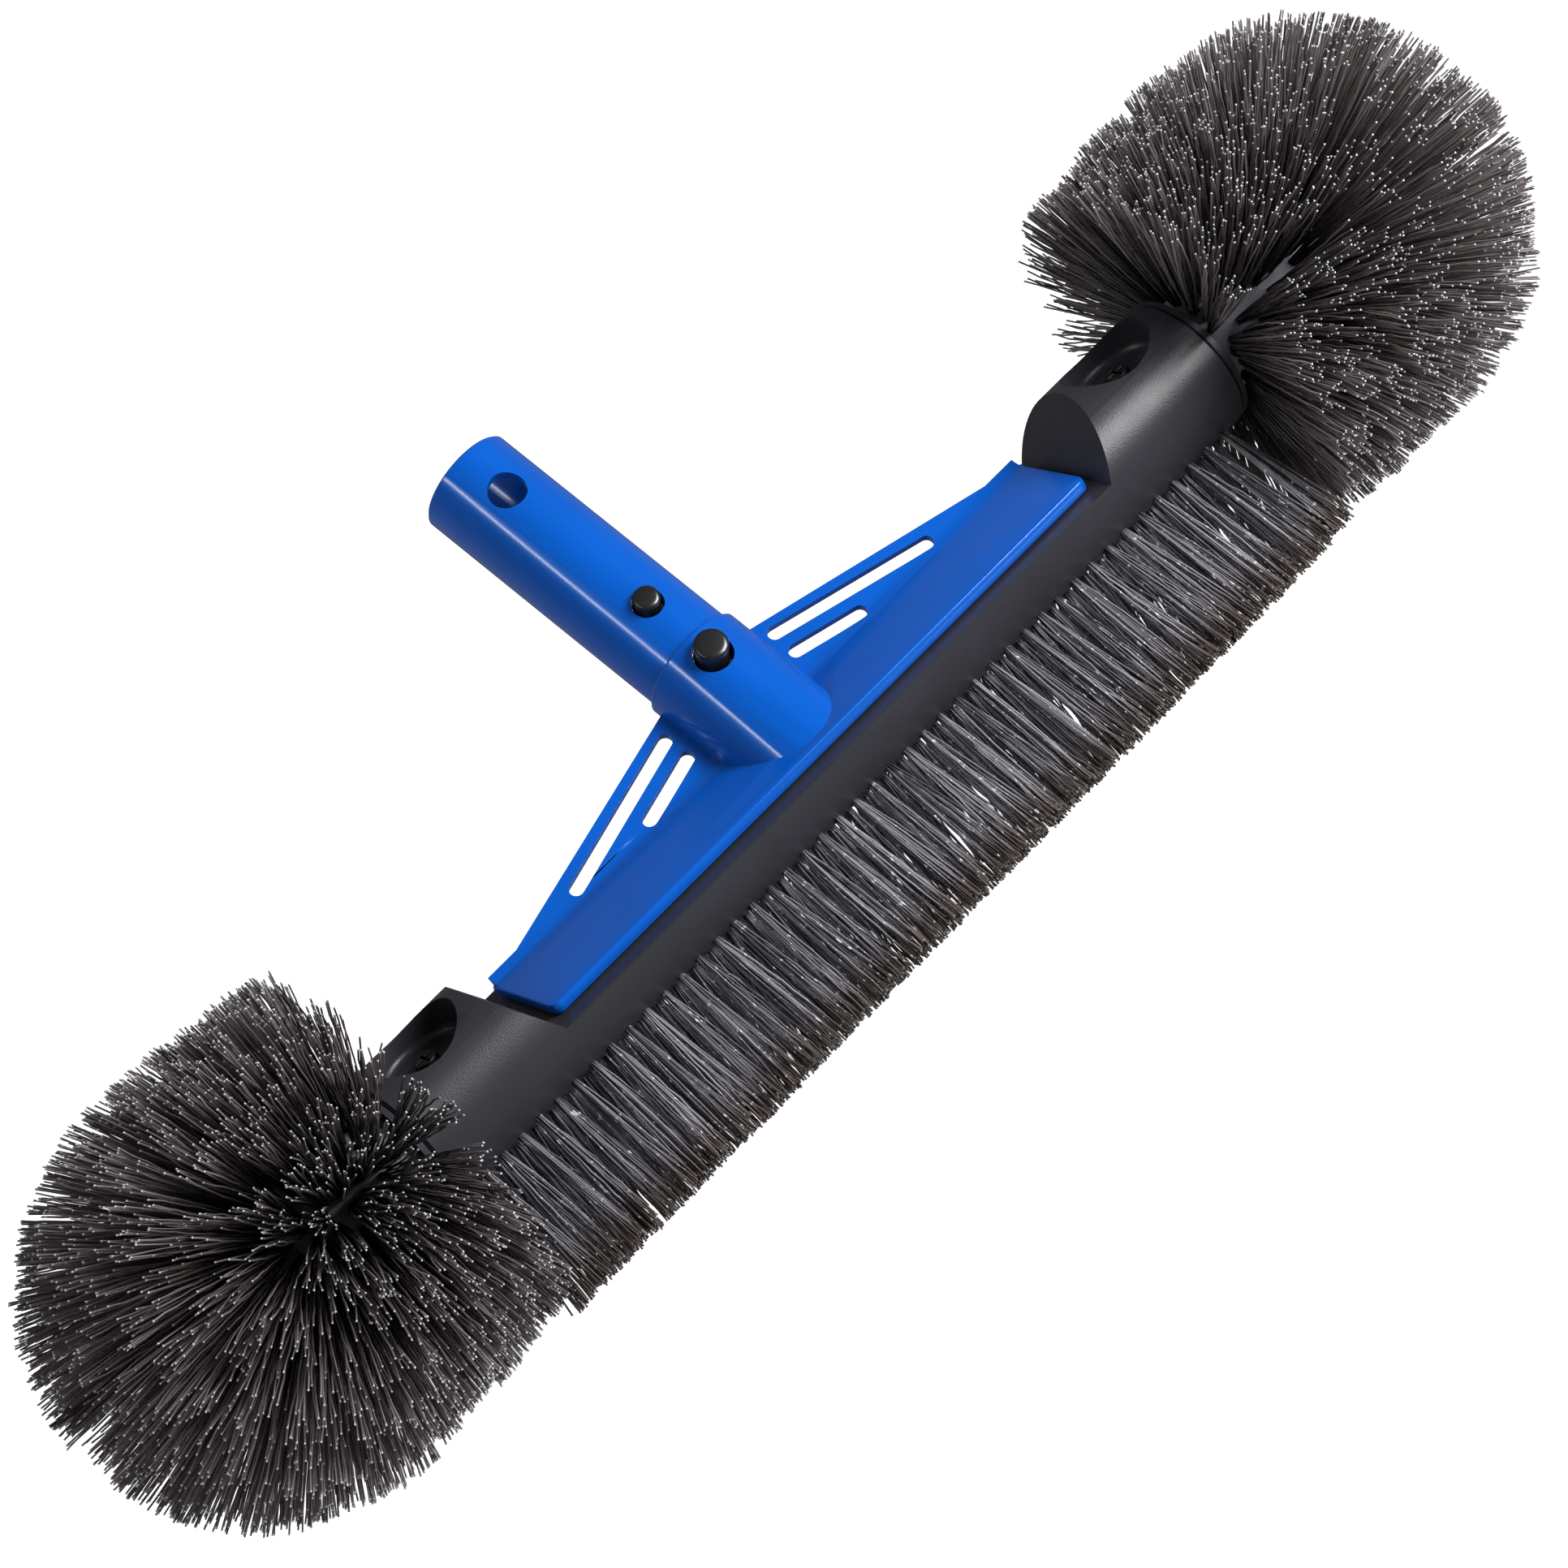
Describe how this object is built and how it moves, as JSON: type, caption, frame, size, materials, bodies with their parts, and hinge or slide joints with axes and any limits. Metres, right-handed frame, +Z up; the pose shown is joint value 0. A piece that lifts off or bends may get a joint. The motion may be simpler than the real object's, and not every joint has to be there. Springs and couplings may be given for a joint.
{
  "type": "pool wall brush",
  "caption": "Pool wall brush with straight bristle rows, a round brush head on each end and a tilted pole bracket with a spring snap clip.",
  "frame": {"origin": "centre of the flat formed by the tips of the middle bristle row, on which the brush stands", "axes": "+X along the brush towards its right end, +Z up from the bristle tips to the bracket, +Y to the rear, the way the pole tube leans"},
  "size_m": [0.5, 0.1557, 0.1422],
  "materials": {
    "body_plastic": "satin black moulded plastic",
    "bracket_plastic": "semi-gloss blue moulded plastic",
    "clip_steel": "spring steel strip",
    "button_plastic": "semi-gloss black plastic",
    "core_plastic": "satin dark grey plastic",
    "screw_steel": "black-finished steel",
    "bristle_nylon": "crimped dark grey nylon filaments"
  },
  "bodies": {
    "brush": {"brush_body": "body_plastic", "pole_bracket": "bracket_plastic", "clip_bend": "clip_steel", "bristle_row_front": "bristle_nylon", "bristle_row_front_inner": "bristle_nylon", "bristle_row_middle": "bristle_nylon", "bristle_row_rear_inner": "bristle_nylon", "bristle_row_rear": "bristle_nylon", "head_core_left": "core_plastic", "head_screw_left": "screw_steel", "head_bristles_rear_left": "bristle_nylon", "head_bristles_side_left": "bristle_nylon", "head_bristles_shoulder_left": "bristle_nylon", "head_bristles_pole_left": "bristle_nylon", "head_core_right": "core_plastic", "head_screw_right": "screw_steel", "head_bristles_rear_right": "bristle_nylon", "head_bristles_side_right": "bristle_nylon", "head_bristles_shoulder_right": "bristle_nylon", "head_bristles_pole_right": "bristle_nylon"},
    "front_arm": {"clip_arm_front": "clip_steel", "lock_button_front": "button_plastic", "release_button_front": "button_plastic"},
    "rear_arm": {"clip_arm_rear": "clip_steel", "lock_button_rear": "button_plastic", "release_button_rear": "button_plastic"}
  },
  "joints": [
    {"name": "front_arm_press", "type": "hinge", "parent": "brush", "child": "front_arm", "pos_m": [0, 0.05833, 0.11631], "axis": [1, 0, 0], "range_deg": [0, 5.2], "stiffness_Nm_per_rad": 2.2, "springref_deg": -1.15},
    {"name": "rear_arm_press", "type": "hinge", "parent": "brush", "child": "rear_arm", "pos_m": [0, 0.0694, 0.10394], "axis": [-1, 0, 0], "range_deg": [0, 5.2], "stiffness_Nm_per_rad": 2.2, "springref_deg": -1.15}
  ]
}
